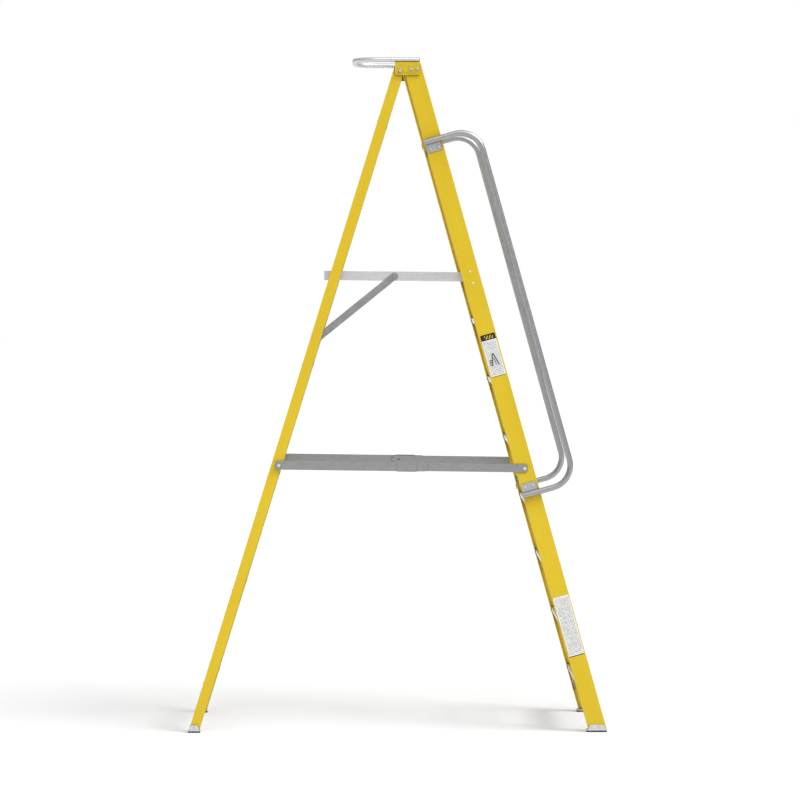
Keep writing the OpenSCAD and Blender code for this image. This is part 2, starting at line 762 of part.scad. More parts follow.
// A deck plank: a ribbed plate over the skirts with two webs that hang between them
module plank_body() {
  w = plank_pitch - plank_gap;
  ribs = floor((w - 4) / rib_pitch);
  web_l = 2 * (platform_half_w - skirt_flange - 1);
  translate([0, platform_half_w, 0]) rotate([90, 0, 0]) linear_extrude(2 * platform_half_w) difference() {
    square([w, plank_h]);
    for (i = [0 : ribs - 1])
      translate([(w - ribs * rib_pitch) / 2 + (i + 0.25) * rib_pitch, plank_h - rib_depth])
        square([rib_pitch / 2, rib_depth + 1]);
  }
  for (x = [8, w - 8 - skirt_wall])
    translate([x, -web_l / 2, -plank_web]) cube([skirt_wall, web_l, plank_web + 1]);
}
module deck_planks() color(silver) on_platform()
  for (i = [0 : plank_count - 1])
    translate([-platform_back + 0.5 + i * plank_pitch, 0, skirt_h / 2]) plank_body();

// An upside-down channel between the skirts, under the planks' webs
module cross_beam(x) {
  l = 2 * (platform_half_w - skirt_wall - 0.4);
  h = skirt_h - 2 * skirt_wall - plank_web - 1;
  translate([x, -l / 2, -skirt_h / 2 + skirt_wall + 0.3]) difference() {
    cube([beam_w, l, h]);
    translate([skirt_wall, -1, -1]) cube([beam_w - 2 * skirt_wall, l + 2, h + 1 - skirt_wall]);
  }
}
module end_plate(x) translate([x, -platform_half_w, -skirt_h / 2])
  cube([end_plate_t, 2 * platform_half_w, skirt_h + plank_h]);

module platform_beams() color(silver) on_platform() {
  end_plate(-platform_back - end_plate_t);
  end_plate(platform_front);
  for (x = beam_x) cross_beam(x);
}

// Braces --------------------------------------------------------------------------------------------

// Puts a child at the brace's pin with x along the brace towards its foot
module at_brace() translate([brace_x, 0, brace_z]) rotate([0, brace_turn, 0]) children();

module bar_outline(x0, x1, w) {
  translate([x0, -w / 2]) square([x1 - x0, w]);
  translate([x0, 0]) circle(d = w);
  translate([x1, 0]) circle(d = w);
}

// The brace steps outward from the platform's side to the rear rail
module brace_profile() {
  u1 = 60;
  u2 = brace_len - 60;
  end = brace_w / 2;
  polygon([[-end, -brace_top_y], [u1, -brace_top_y], [u2, -brace_foot_y], [brace_len + end, -brace_foot_y],
    [brace_len + end, -brace_foot_y - brace_t], [u2, -brace_foot_y - brace_t],
    [u1, -brace_top_y - brace_t], [-end, -brace_top_y - brace_t]]);
}

module brace_body() at_brace() difference() {
  intersection() {
    translate([0, 0, -brace_w]) linear_extrude(2 * brace_w) brace_profile();
    rotate([90, 0, 0]) linear_extrude(platform_half_w * 2) bar_outline(0, brace_len, brace_w);
  }
  y_bar(0, 0, -far, 0, brace_pin_r + run_gap);
  y_bar(brace_len, 0, -far, 0, block_pin_r + hole_gap);
}
module platform_brace_left() color(zinc) brace_body();
module platform_brace_right() color(zinc) right_side() brace_body();

module brace_pin_body() {
  inner = -platform_half_w + skirt_wall + 0.2;
  outer = -brace_top_y - brace_t - 0.3;
  y_bar(brace_x, brace_z, outer, inner, brace_pin_r);
  y_bar(brace_x, brace_z, outer - 2.5, outer, brace_pin_r + 4);
  y_bar(brace_x, brace_z, -platform_half_w - 1.2, -platform_half_w - 0.2, brace_pin_r + 4);
  y_bar(brace_x, brace_z, inner, inner + 2.5, brace_pin_r + 4);
}
module brace_pins() color(zinc) both_sides() brace_pin_body();

// The block runs inside the rear rail and carries the pin under the brace's foot
module slide_block_body() {
  translate([foot_x, 0, brace_foot_h]) rotate([0, block_slope, 0])
    translate([-block_w / 2, -block_y1, -block_l / 2]) cube([block_w, block_y1 - block_y0, block_l]);
  y_bar(foot_x, brace_foot_h, -block_y0 - 1, -brace_foot_y - brace_t - block_pin_gap, block_pin_r);
}
module slide_block_left() color(black) slide_block_body();
module slide_block_right() color(black) right_side() slide_block_body();

// A stop across the rear rail's channel, under the slide block
module at_stop_rivet() on_rear(foot_s + block_l / 2 + stop_gap + stop_l / 2, -rear_half)
  translate([0, flange_rivet_y, 0]) forward() children();

module stop_body() {
  w = rear_rail_w - 2 * rail_wall;
  difference() {
    on_rear(foot_s + block_l / 2 + stop_gap)
      translate([-w / 2, rail_wall + 4, -stop_l]) cube([w, 22, stop_l]);
    at_stop_rivet() fastener_hole(rivet_r, 120);
  }
}
module brace_stops() color(zinc) both_sides() stop_body();

// Rear section ----------------------------------------------------------------------------------------

module at_horizontal_rivets(z) {
  y = flange_rivet_y + rear_inset - half_w(z);
  rear_section(z) for (side = [-1, 1])
    translate([side * (rear_half + seat_gap), y, -horizontal_skirt * 0.55])
      rotate([0, -90 * side, 0]) children();
}

module at_rear_strap_rivets(z) {
  y = strap_foot_y(z, rear_slope, rear_inset);
  rear_section(z) {
    translate([-skirt_x(rear_rail_w), y + strap_run, -strap_drop]) forward() children(0);
    translate([-rear_half - seat_gap, y, -strap_drop - strap_rise]) forward() children(1);
  }
}

// A cross channel between the rear rails, open below
module rear_horizontal(z) {
  half = skirt_x(rear_rail_w);
  l = half_w(z) - rear_inset - rail_wall - step_end_gap;
  color(silver) difference() {
    rear_section(z) translate([-half, -l, -horizontal_skirt]) difference() {
      cube([2 * half, 2 * l, horizontal_skirt]);
      translate([skirt_t, -1, -1]) cube([2 * (half - skirt_t), 2 * l + 2, horizontal_skirt + 1 - tread_t]);
    }
    both_sides() at_horizontal_rivets(z) fastener_hole(rivet_r, 30);
    both_sides() at_rear_strap_rivets(z) {
      fastener_hole(rivet_r, 20);
      fastener_hole(rivet_r, 0.1);
    }
  }
}
module rear_horizontal_1() rear_horizontal(horizontal_z[0]);
module rear_horizontal_2() rear_horizontal(horizontal_z[1]);
module rear_horizontal_3() rear_horizontal(horizontal_z[2]);
module rear_horizontal_4() rear_horizontal(horizontal_z[3]);
module rear_horizontal_5() rear_horizontal(horizontal_z[4]);

module rear_strap_side(z) {
  difference() {
    rear_section(z)
      translate([-skirt_x(rear_rail_w), strap_foot_y(z, rear_slope, rear_inset), -strap_drop - strap_rise])
        knee_strap();
    at_rear_strap_rivets(z) {
      fastener_hole(rivet_r, 20);
      fastener_hole(rivet_r, 30);
    }
  }
}
module rear_diagonals() color(zinc) both_sides() for (z = strap_horizontal_z) rear_strap_side(z);

module rear_rivets() color(silver) both_sides() {
  for (z = horizontal_z) at_horizontal_rivets(z) rivet_body(flange_grip);
  for (z = strap_horizontal_z) at_rear_strap_rivets(z) {
    translate([0, 0, -seat_gap]) rivet_body(strap_head_grip);
    rivet_body(strap_foot_grip);
  }
  at_stop_rivet() rivet_body(rear_rail_w);
  at_shoe_rivets(rear_shoe_rivet_x) rivet_body(shoe_plate_t + rail_wall + rear_inset);
}

// Spreaders ---------------------------------------------------------------------------------------------

// A spreader arm from its squared end, behind the pin, to its rounded end
module arm_outline(back, l, w) {
  r = spreader_corner_r;
  translate([r - back, -w / 2]) square([l + back - r, w]);
  translate([-back, r - w / 2]) square([r + 1, w - 2 * r]);
  for (y = [r - w / 2, w / 2 - r]) translate([r - back, y]) circle(r = r);
  translate([l, 0]) circle(d = w);
}

module front_arm_body() {
  translate([front_pin_x, 0, spreader_front_h]) rotate([0, 180 + spread_turn, 0]) difference() {
    translate([0, -arm_in_y, 0]) rotate([90, 0, 0]) linear_extrude(spreader_t)
      arm_outline(front_arm_end, front_arm_l + front_arm_tail - front_arm_w / 2, front_arm_w);
    y_bar(0, 0, -far, 0, spreader_pin_r + run_gap);
    y_bar(front_arm_l, 0, -far, 0, spreader_pin_r + run_gap);
  }
}
module spreader_front_arm_left() color(zinc) front_arm_body();
module spreader_front_arm_right() color(zinc) right_side() front_arm_body();

// Puts a child at the rear spreader pin with x along the arm towards the knee
module at_rear_arm() translate([rear_pin_x, 0, spreader_rear_h]) rotate([0, spread_turn, 0]) children();

module rear_arm_body() at_rear_arm() difference() {
  translate([0, -arm_out_y, 0]) rotate([90, 0, 0]) linear_extrude(spreader_t)
    arm_outline(rear_arm_end, rear_arm_l + rear_arm_tail - spreader_w / 2, spreader_w);
  y_bar(0, 0, -far, 0, spreader_pin_r + run_gap);
  y_bar(rear_arm_l, 0, -far, 0, spreader_pin_r + run_gap);
  for (u = [lock_back + 12, lock_front - 12, stop_rivet_u])
    y_bar(rear_arm_l + u, 0, -far, 0, rivet_r + hole_gap);
}
module spreader_rear_arm_left() color(zinc) rear_arm_body();
module spreader_rear_arm_right() color(zinc) right_side() rear_arm_body();

// The saddle over the knee, its two rivets, and the rivet near the rear arm's tail
module lock_body() at_rear_arm() translate([rear_arm_l, 0, 0]) {
  half = spreader_w / 2 + 0.4;
  l = lock_front - lock_back;
  translate([lock_back, -lock_y - lock_t, -half - lock_t]) cube([l, lock_t, 2 * (half + lock_t)]);
  for (z = [-half - lock_t, half])
    translate([lock_back, -lock_y - 1, z]) cube([l, lock_y + 1 - arm_out_y - 0.3, lock_t]);
  for (u = [lock_back + 12, lock_front - 12]) y_bar(u, 0, -lock_y - 1, -arm_out_y - 0.2, rivet_r);
  y_bar(stop_rivet_u, 0, -arm_out_y - spreader_t - 2, -arm_out_y - 0.2, rivet_r);
  y_bar(stop_rivet_u, 0, -arm_out_y - spreader_t - 2.5, -arm_out_y - spreader_t - 0.1, rivet_head_r);
}
module spreader_lock_left() color(zinc) lock_body();
module spreader_lock_right() color(zinc) right_side() lock_body();

// A spreader pin: a nut inside the rail, a spacer to the arm and a head outside it
module spreader_pin_body(x, z, rail_y, arm_y) {
  y_bar(x, z, -arm_y - spreader_t - 0.4, -rail_y + rail_wall + 6, spreader_pin_r);
  y_bar(x, z, -arm_y - spreader_t - 3.4, -arm_y - spreader_t - 0.4, spreader_pin_r + 4);
  y_bar(x, z, -arm_y + 0.2, -rail_y - seat_gap * 1.5, spreader_pin_r + 4);
  translate([x, -rail_y + rail_wall + seat_gap * 1.5, z]) inward() cylinder(h = 5, r = 8, $fn = 6);
}
module spreader_front_pins() color(zinc) both_sides()
  spreader_pin_body(front_pin_x, spreader_front_h, half_w(spreader_front_h), arm_in_y);
module spreader_rear_pins() color(zinc) both_sides()
  spreader_pin_body(rear_pin_x, spreader_rear_h, half_w(spreader_rear_h) - rear_inset, arm_out_y);

front_rail_left();
front_rail_right();
step_1();
step_2();
step_3();
step_4();
step_5();
step_6();
step_7();
step_knee_braces();
front_rivets();
front_shoe_left();
front_shoe_right();
front_shoe_pads();
top_plate_left();
top_plate_right();
top_bolts();
pivot_bolts();
guard_hoop();
tube_end_caps();
handrail_left();
handrail_right();
handrail_plates();
handrail_backing_plates();
handrail_bolts();
platform_hinge_brackets();
platform_hinge_pins();
spreader_front_pins();
rail_stickers();
rear_rail_left();
rear_rail_right();
pivot_bushings();
rear_horizontal_1();
rear_horizontal_2();
rear_horizontal_3();
rear_horizontal_4();
rear_horizontal_5();
rear_diagonals();
rear_rivets();
rear_shoe_left();
rear_shoe_right();
rear_shoe_pads();
brace_stops();
spreader_rear_pins();
deck_planks();
platform_skirt_left();
platform_skirt_right();
platform_beams();
brace_pins();
platform_brace_left();
platform_brace_right();
slide_block_left();
slide_block_right();
spreader_front_arm_left();
spreader_front_arm_right();
spreader_rear_arm_left();
spreader_rear_arm_right();
spreader_lock_left();
spreader_lock_right();
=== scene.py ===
import json
import math

import bmesh
import bpy
import numpy as np
from mathutils import Matrix, Vector


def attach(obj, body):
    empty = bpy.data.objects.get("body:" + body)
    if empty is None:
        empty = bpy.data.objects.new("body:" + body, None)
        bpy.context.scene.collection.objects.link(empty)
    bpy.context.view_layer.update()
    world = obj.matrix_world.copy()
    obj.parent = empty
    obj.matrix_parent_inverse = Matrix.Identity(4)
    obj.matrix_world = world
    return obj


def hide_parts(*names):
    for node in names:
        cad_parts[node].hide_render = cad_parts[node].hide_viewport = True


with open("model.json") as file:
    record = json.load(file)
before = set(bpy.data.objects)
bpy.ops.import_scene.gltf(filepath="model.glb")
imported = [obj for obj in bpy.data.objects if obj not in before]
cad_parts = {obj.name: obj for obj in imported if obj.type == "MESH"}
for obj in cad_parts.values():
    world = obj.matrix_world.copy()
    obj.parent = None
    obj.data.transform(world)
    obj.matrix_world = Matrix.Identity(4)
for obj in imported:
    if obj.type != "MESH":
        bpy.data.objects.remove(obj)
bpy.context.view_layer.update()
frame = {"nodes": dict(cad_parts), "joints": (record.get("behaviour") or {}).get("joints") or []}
nodes = frame["nodes"]

# Slopes of the front and rear rails in the side view, and the lean of both in the front view
FRONT_SLOPE = math.radians(15.6)
REAR_SLOPE = math.radians(17.25)
SIDE_LEAN = math.radians(2.2)


# Colours ----------------------------------------------------------------------------------------

def linear(*rgb):
    """An sRGB colour, 0 to 255, as linear RGBA."""
    def one(c):
        c /= 255
        return c / 12.92 if c <= 0.04045 else ((c + 0.055) / 1.055) ** 2.4
    return (*(one(c) for c in rgb), 1.0)


def toned(colour, gain, lift=0.0):
    """A linear colour made darker or paler."""
    return tuple(min(1, c * gain + lift) for c in colour[:3]) + (1,)


MILL = linear(228, 229, 230)
SHEARED = linear(208, 209, 211)
BRIGHT_TUBE = linear(212, 214, 216)
TUBE = linear(169, 171, 172)
ZINC = linear(164, 165, 165)
FASTENER = linear(232, 233, 234)
# Colours of the painted shade in corners and under edges
GREY_PAINTED_SHADE = linear(58, 58, 58)
YELLOW_PAINTED_SHADE = linear(84, 68, 16)
DARK_PRINT = linear(28, 28, 28)
ROW_PRINT = linear(92, 94, 96)
GREY_PRINT = linear(86, 88, 90)
PALE_PRINT = linear(208, 209, 208)
YELLOW_PRINT = linear(196, 166, 40)


# Shader building --------------------------------------------------------------------------------

class Look:
    """A node-based material under construction. Textures sit in the row frame, in metres."""

    def __init__(self, name, metallic=0.0, roughness=0.5, **settings):
        self.material = bpy.data.materials.new(name)
        self.material.use_nodes = True
        self.tree = self.material.node_tree
        self.shader = self.tree.nodes["Principled BSDF"]
        self.set(self.shader, Metallic=metallic, Roughness=roughness, **settings)

    def feed(self, socket, value):
        """Links another node's output to a socket, or gives the socket a plain value."""
        if isinstance(value, bpy.types.NodeSocket):
            self.tree.links.new(value, socket)
        else:
            socket.default_value = value

    def set(self, node, **values):
        for key, value in values.items():
            self.feed(node.inputs[key.replace("_", " ")], value)

    def node(self, kind, **props):
        made = self.tree.nodes.new("ShaderNode" + kind)
        for key, value in props.items():
            setattr(made, key, value)
        return made

    def coords(self, scale=(1, 1, 1), turn=0.0):
        """Object coordinates turned about Y, and then stretched."""
        turned = self.node("Mapping")
        self.set(turned, Rotation=(0, turn, 0), Vector=self.node("TexCoord").outputs["Object"])
        scaled = self.node("Mapping")
        self.set(scaled, Scale=scale, Vector=turned.outputs["Vector"])
        return scaled.outputs["Vector"]

    def noise(self, vector, scale, detail=4.0, roughness=0.55):
        made = self.node("TexNoise")
        self.set(made, Vector=vector, Scale=scale, Detail=detail, Roughness=roughness)
        return made.outputs["Fac"]

    def cells(self, vector, scale):
        made = self.node("TexVoronoi")
        self.set(made, Vector=vector, Scale=scale)
        return made.outputs["Color"]

    def ramp(self, value, low, high, to_low=0.0, to_high=1.0):
        made = self.node("MapRange")
        self.set(made, Value=value, From_Min=low, From_Max=high, To_Min=to_low, To_Max=to_high)
        return made.outputs["Result"]

    def math(self, operation, a, b=0.0):
        made = self.node("Math", operation=operation)
        for socket, value in zip(made.inputs, (a, b)):
            self.feed(socket, value)
        return made.outputs["Value"]

    def mix(self, factor, a, b, blend="MIX"):
        made = self.node("Mix", data_type="RGBA", blend_type=blend)
        for name, value in (("Factor_Float", factor), ("A_Color", a), ("B_Color", b)):
            self.feed(next(s for s in made.inputs if s.identifier == name), value)
        return next(s for s in made.outputs if s.identifier == "Result_Color")

    def times(self, a, b):
        return self.math("MULTIPLY", a, b)

    def between(self, value, low, high):
        """1 where the value lies between the two, and 0 elsewhere."""
        return self.times(self.math("GREATER_THAN", value, low), self.math("LESS_THAN", value, high))

    def bump(self, height, distance, strength=1.0, normal=None):
        made = self.node("Bump")
        self.set(made, Height=height, Distance=distance, Strength=strength)
        if normal is not None:
            self.set(made, Normal=normal)
        return made.outputs["Normal"]

    def rounded(self, radius):
        """The normal with every edge rounded off."""
        bevel = self.node("Bevel", samples=4)
        self.set(bevel, Radius=radius)
        return bevel.outputs["Normal"]

    def edge(self, radius):
        """1 on sharp edges and 0 on flat faces, from the rounded normal."""
        dot = self.node("VectorMath", operation="DOT_PRODUCT")
        self.feed(dot.inputs[0], self.rounded(radius))
        self.feed(dot.inputs[1], self.node("NewGeometry").outputs["Normal"])
        return self.ramp(dot.outputs["Value"], 0.995, 0.85)

    def with_painted_corner_shade(self, base, reach, most, shade, starts=0.92, full=0.40):
        """Painted shade: the colour darkened towards a shade colour in corners and under edges, within a
        short reach of the next surface.
        """
        open_share = self.node("AmbientOcclusion", samples=8)
        self.set(open_share, Distance=reach)
        return self.mix(self.ramp(open_share.outputs["AO"], starts, full, 0, most), base, shade)


def fibreglass(name, slope):
    """Pultruded glass-fibre rail: yellow resin with fine strands along the rail and a satin skin."""
    look = Look(name, Specular_IOR_Level=0.42)
    along = look.coords((90, 90, 1.6), slope)
    strands = look.noise(along, 14, 5, 0.6)
    veil = look.noise(look.coords(), 260, 3)
    cloud = look.noise(look.coords((3, 3, 0.8), slope), 2.2, 3)
    base = look.mix(look.ramp(cloud, 0.3, 0.7), linear(212, 180, 14), linear(219, 188, 25))
    base = look.mix(look.ramp(strands, 0.52, 0.75, 0, 0.30), base, linear(234, 207, 60))
    base = look.mix(look.ramp(strands, 0.46, 0.28, 0, 0.22), base, linear(206, 170, 12))
    height = look.node("SeparateXYZ")
    look.set(height, Vector=look.coords())
    dust = look.times(look.ramp(height.outputs["Z"], 0.34, 0.0, 0, 0.5), look.ramp(cloud, 0.35, 0.7))
    base = look.mix(look.times(dust, 0.35), base, linear(150, 132, 84))
    worn = look.times(look.edge(0.0022), look.ramp(veil, 0.45, 0.6, 0.1, 0.55))
    base = look.mix(worn, base, linear(238, 218, 128))
    # Painted shade in tight corners and under edges
    base = look.with_painted_corner_shade(base, 0.012, 0.7, YELLOW_PAINTED_SHADE)
    # Painted shadow: dark inside the channels and under the treads, where the treads' shadows fall
    base = look.with_painted_corner_shade(base, 0.075, 0.9, linear(44, 38, 14), 0.46, 0.24)
    rough = look.ramp(strands, 0.3, 0.7, 0.36, 0.5)
    skin = look.math("ADD", look.times(strands, 0.7), look.times(veil, 0.3))
    look.set(look.shader, Base_Color=base, Roughness=rough,
             Normal=look.bump(skin, 0.00012, 0.5, look.rounded(0.0016)))
    return look.material


def paint(name):
    """Powder-coated yellow sheet with orange peel and paler worn edges."""
    look = Look(name, Specular_IOR_Level=0.45)
    peel = look.noise(look.coords(), 420, 2)
    cloud = look.noise(look.coords(), 18, 3)
    base = look.mix(look.ramp(cloud, 0.35, 0.65), linear(205, 174, 14), linear(213, 183, 22))
    worn = look.times(look.edge(0.0012), look.ramp(peel, 0.4, 0.6, 0.2, 0.7))
    base = look.mix(worn, base, linear(236, 214, 120))
    # Painted shade in corners and under the sheet's edges
    base = look.with_painted_corner_shade(base, 0.006, 0.45, YELLOW_PAINTED_SHADE)
    look.set(look.shader, Base_Color=base, Roughness=look.ramp(cloud, 0.3, 0.7, 0.34, 0.46),
             Normal=look.bump(peel, 0.00006, 0.5, look.rounded(0.0012)))
    return look.material


def metal(name, shade, stretch, roughness, turn=0.0, grain=0.0001, depth=0.80, tube=False):
    """Bare metal with drawing lines along its length and faint handling marks; bright edges unless a tube."""
    look = Look(name, metallic=1.0)
    lines = look.noise(look.coords(stretch, turn), 9, 6, 0.65)
    marks = look.noise(look.coords(), 34, 5, 0.7)
    dark, pale = toned(shade, depth), toned(shade, 1.5 - depth / 2)
    base = look.mix(look.ramp(lines, 0.3, 0.7), dark, pale)
    base = look.mix(look.ramp(marks, 0.5, 0.75, 0, 0.28), base, dark)
    if not tube:
        base = look.mix(look.times(look.edge(0.0008), 0.55), base, pale)
    # Painted shade in corners and under edges, weaker on tubes
    base = look.with_painted_corner_shade(base, 0.010, 0.35 if tube else 0.75, GREY_PAINTED_SHADE)
    rough = look.math("ADD", look.ramp(lines, 0.3, 0.7, roughness - 0.06, roughness + 0.06),
                      look.ramp(marks, 0.45, 0.8, 0, 0.12))
    look.set(look.shader, Base_Color=base, Roughness=rough,
             Normal=look.bump(lines, grain, 0.45, None if tube else look.rounded(0.0008)))
    return look.material


def zinc(name, shade, roughness=0.44):
    """Zinc-plated steel: a faint spangle, soft blotches and small scratches."""
    look = Look(name, metallic=1.0)
    spangle = look.cells(look.coords(), 160)
    blotch = look.noise(look.coords(), 26, 5, 0.65)
    scratch = look.noise(look.coords((40, 300, 300), 0.5), 3, 3)
    dark, pale = toned(shade, 0.93), toned(shade, 1.03)
    base = look.mix(look.ramp(blotch, 0.35, 0.65), dark, pale)
    grey = look.node("RGBToBW")
    look.set(grey, Color=spangle)
    base = look.mix(0.08, base, grey.outputs["Val"], "OVERLAY")
    base = look.mix(look.ramp(scratch, 0.66, 0.72, 0, 0.35), base, pale)
    base = look.mix(look.times(look.edge(0.0009), 0.5), base, linear(205, 207, 208))
    # Painted shade in corners and under edges
    base = look.with_painted_corner_shade(base, 0.008, 0.7, GREY_PAINTED_SHADE)
    rough = look.ramp(blotch, 0.3, 0.7, roughness - 0.07, roughness + 0.09)
    look.set(look.shader, Base_Color=base, Roughness=rough,
             Normal=look.bump(blotch, 0.00008, 0.4, look.rounded(0.0008)))
    return look.material


def moulded(name, colour, scale, depth, roughness):
    """Moulded rubber or plastic with a fine grain and dusty high spots."""
    look = Look(name, Specular_IOR_Level=0.35)
    grain = look.noise(look.coords(), scale, 4, 0.7)
    cloud = look.noise(look.coords(), 40, 4, 0.6)
    pale = toned(colour, 1.9, 0.01)
    base = look.mix(look.ramp(cloud, 0.45, 0.75, 0, 0.45), colour, pale)
    base = look.mix(look.times(look.edge(0.0008), 0.4), base, pale)
    rough = look.ramp(grain, 0.3, 0.7, roughness - 0.08, roughness + 0.08)
    look.set(look.shader, Base_Color=base, Roughness=rough,
             Normal=look.bump(grain, depth, 0.6, look.rounded(0.0007)))
    return look.material


def printed_label(name, rows, header, blocks, bars=(), stripes=None):
    """A white film with rows of grey marks that stand for print, blocks, slanted bars and a striped band."""
    look = Look(name, roughness=0.38)
    uv = look.node("SeparateXYZ")
    look.set(uv, Vector=look.node("TexCoord").outputs["UV"])
    u, v = uv.outputs["X"], uv.outputs["Y"]
    line = look.between(look.math("FRACT", look.times(v, rows)), 0.34, 0.78)
    cell = look.node("CombineXYZ")
    look.set(cell, X=look.times(u, 26.0), Y=look.math("FLOOR", look.times(v, rows)))
    words = look.noise(cell.outputs["Vector"], 1.1, 2, 0.6)
    marks = look.times(line, look.math("GREATER_THAN", words, 0.48))
    inside = look.times(look.between(u, 0.07, 0.93), look.between(v, 0.03, header - 0.015))
    marks = look.times(marks, inside)
    paper = look.ramp(look.noise(look.coords(), 60, 3), 0.4, 0.7)
    paper = look.mix(paper, linear(232, 233, 231), linear(220, 221, 219))
    base = look.mix(look.times(marks, 0.85), paper, ROW_PRINT)
    for u0, u1, v0, v1, shade in blocks:
        base = look.mix(look.times(look.between(u, u0, u1), look.between(v, v0, v1)), base, shade)
    for u0, v0, u1, v1, half in bars:
        along = look.times(look.math("SUBTRACT", v, v0), (u1 - u0) / (v1 - v0))
        off = look.math("SUBTRACT", look.math("SUBTRACT", u, u0), along)
        bar = look.times(look.between(off, -half, half), look.between(v, v0, v1))
        base = look.mix(bar, base, GREY_PRINT)
    if stripes:
        u0, u1, v0, v1 = stripes
        slant = look.math("FRACT", look.math("ADD", look.times(u, 5.0), look.times(v, -9.0)))
        band = look.times(look.between(u, u0, u1), look.between(v, v0, v1))
        base = look.mix(look.times(band, look.math("GREATER_THAN", slant, 0.5)), base, YELLOW_PRINT)
    rough = look.ramp(look.noise(look.coords(), 300, 2), 0.3, 0.7, 0.3, 0.46)
    look.set(look.shader, Base_Color=base, Roughness=rough)
    return look.material


# Looks and the pieces that wear them ------------------------------------------------------------

# Stretch of the drawing lines on metal: across the ladder, from front to back, or up and down
ACROSS = (150, 0.8, 150)
LENGTHWISE = (0.8, 150, 150)
UPRIGHT = (150, 150, 0.8)
BENT = (0.8, 60, 60)
EVEN = (30, 30, 30)

looks = {
    "front_rail": fibreglass("front_fibreglass", FRONT_SLOPE),
    "rear_rail": fibreglass("rear_fibreglass", -REAR_SLOPE),
    "paint": paint("yellow_powder_coat"),
    "tread": metal("extruded_tread", MILL, ACROSS, 0.36),
    "skirt": metal("extruded_skirt", MILL, LENGTHWISE, 0.40),
    "tube_x": metal("drawn_tube_level", BRIGHT_TUBE, BENT, 0.46, grain=0.00001, depth=0.96, tube=True),
    "tube_up": metal("drawn_tube_upright", TUBE, UPRIGHT, 0.36, FRONT_SLOPE, 0.00002, 0.94, tube=True),
    "cast": metal("cast_shoe", MILL, EVEN, 0.42, grain=0.00015),
    "plate": metal("sheared_plate", SHEARED, EVEN, 0.38, grain=0.00008, depth=0.88),
    "bar": zinc("plated_bar", ZINC),
    "fastener": zinc("plated_fastener", FASTENER, 0.34),
    "rubber": moulded("ribbed_rubber", linear(38, 39, 41), 700, 0.0003, 0.72),
    "nylon": moulded("black_nylon", linear(30, 30, 31), 500, 0.0001, 0.45),
    "cap": moulded("grey_cap", linear(150, 152, 153), 500, 0.0001, 0.42),
    # Blocks are (left, right, bottom, top, colour) and bars (from u, v, to u, v, half width), each from 0
    # to 1 across and up the film
    "upper_label": printed_label(
        "upper_label_print", 30, 0.86,
        blocks=[(0.0, 1.0, 0.86, 1.0, DARK_PRINT), (0.06, 0.94, 0.22, 0.60, PALE_PRINT),
                (0.16, 0.36, 0.26, 0.40, GREY_PRINT), (0.20, 0.32, 0.29, 0.32, PALE_PRINT),
                (0.20, 0.32, 0.35, 0.37, PALE_PRINT), (0.0, 1.0, 0.0, 0.012, DARK_PRINT)],
        bars=[(0.30, 0.26, 0.46, 0.54, 0.045), (0.74, 0.25, 0.52, 0.54, 0.045),
              (0.56, 0.27, 0.48, 0.44, 0.03)],
        stripes=(0.24, 0.84, 0.885, 0.965)),
    "lower_label": printed_label(
        "lower_label_print", 52, 0.985,
        blocks=[(0.0, 1.0, 0.0, 0.014, DARK_PRINT), (0.10, 0.50, 0.945, 0.975, PALE_PRINT),
                (0.08, 0.92, 0.60, 0.612, PALE_PRINT), (0.08, 0.92, 0.36, 0.372, PALE_PRINT)]),
}

# The first row whose names a piece's name starts with gives its look
LOOK_OF_NODE = [
    (("front_rail_",), "front_rail"),
    (("rear_rail_",), "rear_rail"),
    (("top_plate_",), "paint"),
    (("step_knee_braces", "rear_diagonals", "platform_brace_", "spreader_front_arm", "spreader_rear_arm",
      "spreader_lock", "handrail_backing_plates", "brace_stops", "brace_pins"), "bar"),
    (("front_rivets", "rear_rivets", "top_bolts", "pivot_bolts", "handrail_bolts", "platform_hinge_pins",
      "spreader_front_pins", "spreader_rear_pins"), "fastener"),
    (("guard_hoop",), "tube_x"),
    (("handrail_left", "handrail_right"), "tube_up"),
    (("front_shoe_pads", "rear_shoe_pads"), "rubber"),
    (("front_shoe_", "rear_shoe_"), "cast"),
    (("handrail_plates", "platform_hinge_brackets"), "plate"),
    (("tube_end_caps",), "cap"),
    (("pivot_bushings", "slide_block_"), "nylon"),
    (("platform_skirt_",), "skirt"),
    (("step_", "rear_horizontal_", "deck_planks", "platform_beams", "rail_stickers"), "tread"),
]


for name, cad in nodes.items():
    cad.data.materials.clear()
    cad.data.materials.append(looks[next(look for starts, look in LOOK_OF_NODE if name.startswith(starts))])


# Softened edges on the CAD pieces ---------------------------------------------------------------

# Pieces, the width of their edges in metres and the number of segments
SOFT_EDGES = [
    (("top_plate_",), 0.0009, 2),
    (("handrail_plates", "platform_hinge_brackets", "handrail_backing_plates"), 0.0007, 2),
    (("front_shoe_left", "front_shoe_right", "rear_shoe_left", "rear_shoe_right"), 0.0006, 2),
    (("front_shoe_pads", "rear_shoe_pads", "slide_block_", "brace_stops"), 0.0006, 2),
    (("platform_skirt_", "platform_beams"), 0.0005, 2),
    (("platform_brace_", "spreader_front_arm", "spreader_rear_arm", "spreader_lock",
      "step_knee_braces", "rear_diagonals"), 0.0006, 2),
    (("step_", "deck_planks", "rear_horizontal_"), 0.0003, 1),
]


def soften(cad, width, segments):
    """Rounds the sharp edges with modifiers, which leave the CAD mesh as it is."""
    for polygon in cad.data.polygons:
        polygon.use_smooth = True
    weld = cad.modifiers.new("weld", "WELD")
    weld.merge_threshold = 1e-6
    bevel = cad.modifiers.new("bevel", "BEVEL")
    bevel.width = width
    bevel.segments = segments
    bevel.limit_method = "ANGLE"
    bevel.angle_limit = math.radians(40)
    bevel.use_clamp_overlap = True
    weighted = cad.modifiers.new("weighted", "WEIGHTED_NORMAL")
    weighted.keep_sharp = False
    weighted.weight = 80


